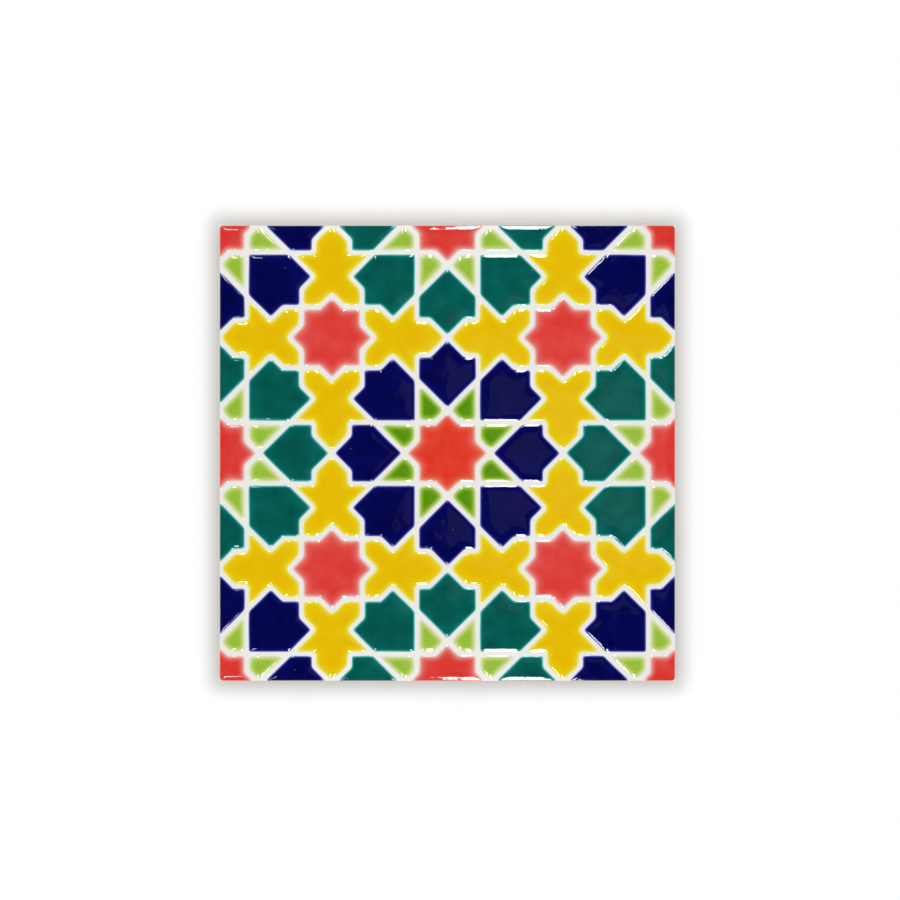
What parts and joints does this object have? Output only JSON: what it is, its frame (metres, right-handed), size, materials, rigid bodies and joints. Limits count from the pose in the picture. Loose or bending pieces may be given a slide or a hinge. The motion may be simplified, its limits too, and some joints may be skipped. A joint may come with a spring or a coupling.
{
  "type": "haft rang tile",
  "caption": "Square glazed ceramic wall tile: raised pools of navy, teal, yellow, red and green glaze fill a star lattice, parted by white lines; the flat back has keying grooves.",
  "frame": {"origin": "centre of the flat back, on the plane that it beds on", "axes": "+Z out of the glazed face, +X and +Y along the edges, +Y up in the picture"},
  "size_m": [0.2, 0.2, 0.0086],
  "materials": {
    "tile": "gloss"
  },
  "bodies": {
    "root": {"tile": "tile"}
  },
  "joints": []
}
